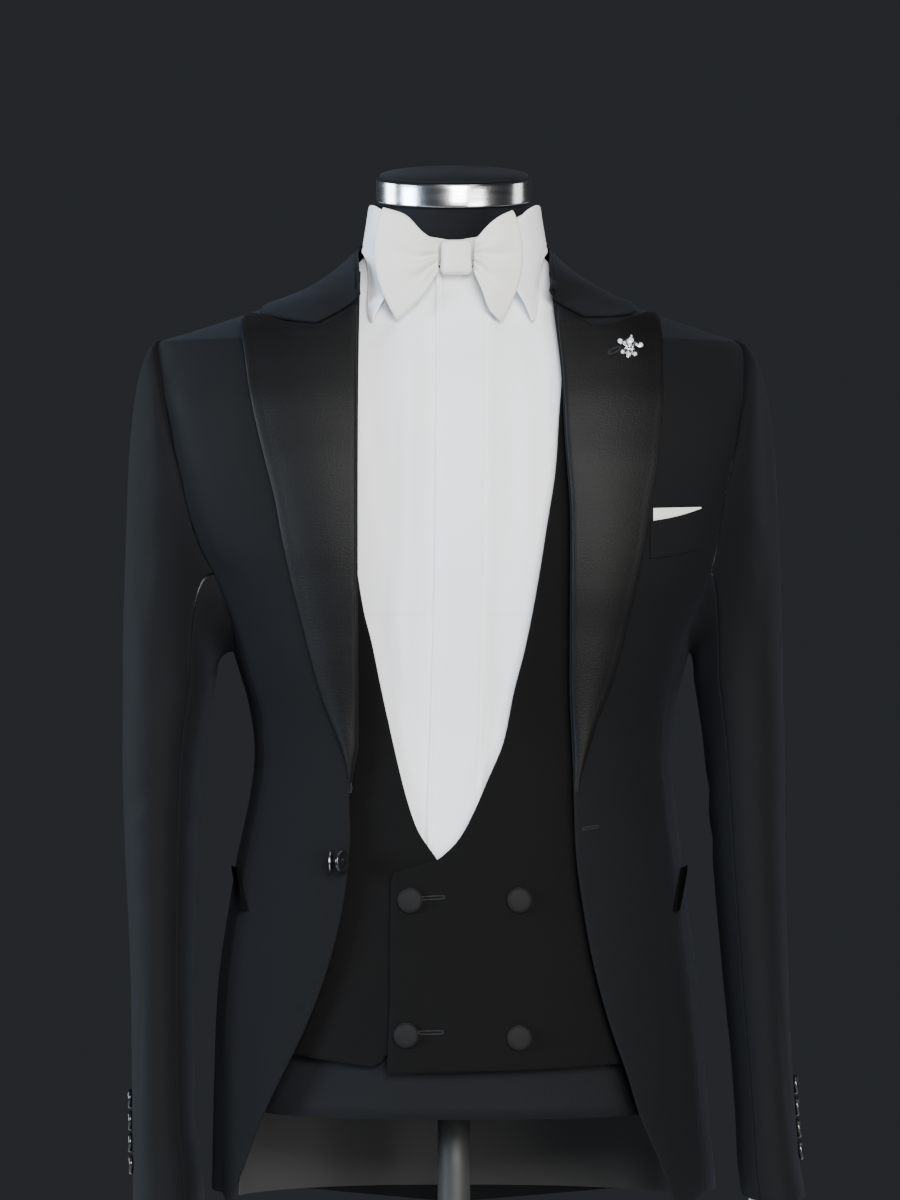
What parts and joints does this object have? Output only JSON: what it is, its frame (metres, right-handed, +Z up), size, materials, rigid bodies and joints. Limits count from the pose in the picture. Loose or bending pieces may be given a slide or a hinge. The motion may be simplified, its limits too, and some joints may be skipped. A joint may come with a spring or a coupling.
{
  "type": "tuxedo on a dress form",
  "caption": "Black tuxedo jacket with satin peak lapels, double-breasted waistcoat, white shirt and ivory bow tie on a limbless dress form with a pole stand.",
  "frame": {"origin": "centre of the underside of the stand's base plate, where the form stands on the floor", "axes": "+Z up along the pole, the front of the clothes faces -Y, +X to the viewer's right seen from the front"},
  "size_m": [0.5254, 0.32, 0.9399],
  "materials": {
    "wool": "matte fine worsted",
    "satin": "soft grained satin",
    "lining": "smooth lining",
    "waistcoat_wool": "matte fine worsted",
    "cotton": "plain white poplin",
    "ivory": "matte ivory weave",
    "chrome": "polished",
    "jersey": "matte stretch cover",
    "stand_grey": "matte",
    "gloss_button": "gloss",
    "pin_silver": "polished, set with clear stones"
  },
  "bodies": {
    "root": {"bow_band": "ivory", "bow_knot": "ivory", "bow_wing_left": "ivory", "bow_wing_right": "ivory", "form_neck_band": "chrome", "form_neck_cap": "jersey", "form_torso": "jersey", "jacket_back_left": "wool", "jacket_back_right": "wool", "jacket_breast_welt": "wool", "jacket_collar": "wool", "jacket_front_left": "wool", "jacket_front_right": "wool", "jacket_jetting_left": "satin", "jacket_jetting_right": "satin", "jacket_lapel_left": "satin", "jacket_lapel_pin": "pin_silver", "jacket_lapel_right": "satin", "jacket_lining": "lining", "jacket_side_left": "wool", "jacket_side_right": "wool", "jacket_top_sleeve_left": "wool", "jacket_top_sleeve_right": "wool", "jacket_under_sleeve_left": "wool", "jacket_under_sleeve_right": "wool", "link_button_back": "gloss_button", "link_button_front": "gloss_button", "link_shank": "wool", "pocket_square": "cotton", "shirt_back": "cotton", "shirt_collar_leaf": "cotton", "shirt_collar_stand": "cotton", "shirt_cuff_left": "cotton", "shirt_cuff_right": "cotton", "shirt_front_left": "cotton", "shirt_front_right": "cotton", "shirt_placket": "cotton", "shirt_sleeve_left": "cotton", "shirt_sleeve_right": "cotton", "sleeve_button_left_1": "gloss_button", "sleeve_button_left_2": "gloss_button", "sleeve_button_left_3": "gloss_button", "sleeve_button_left_4": "gloss_button", "sleeve_button_right_1": "gloss_button", "sleeve_button_right_2": "gloss_button", "sleeve_button_right_3": "gloss_button", "sleeve_button_right_4": "gloss_button", "stand_base": "stand_grey", "stand_pole": "stand_grey", "waistcoat_back": "waistcoat_wool", "waistcoat_button_lower_left": "waistcoat_wool", "waistcoat_button_lower_right": "waistcoat_wool", "waistcoat_button_upper_left": "waistcoat_wool", "waistcoat_button_upper_right": "waistcoat_wool", "waistcoat_front_over": "waistcoat_wool", "waistcoat_front_under": "waistcoat_wool"}
  },
  "joints": []
}
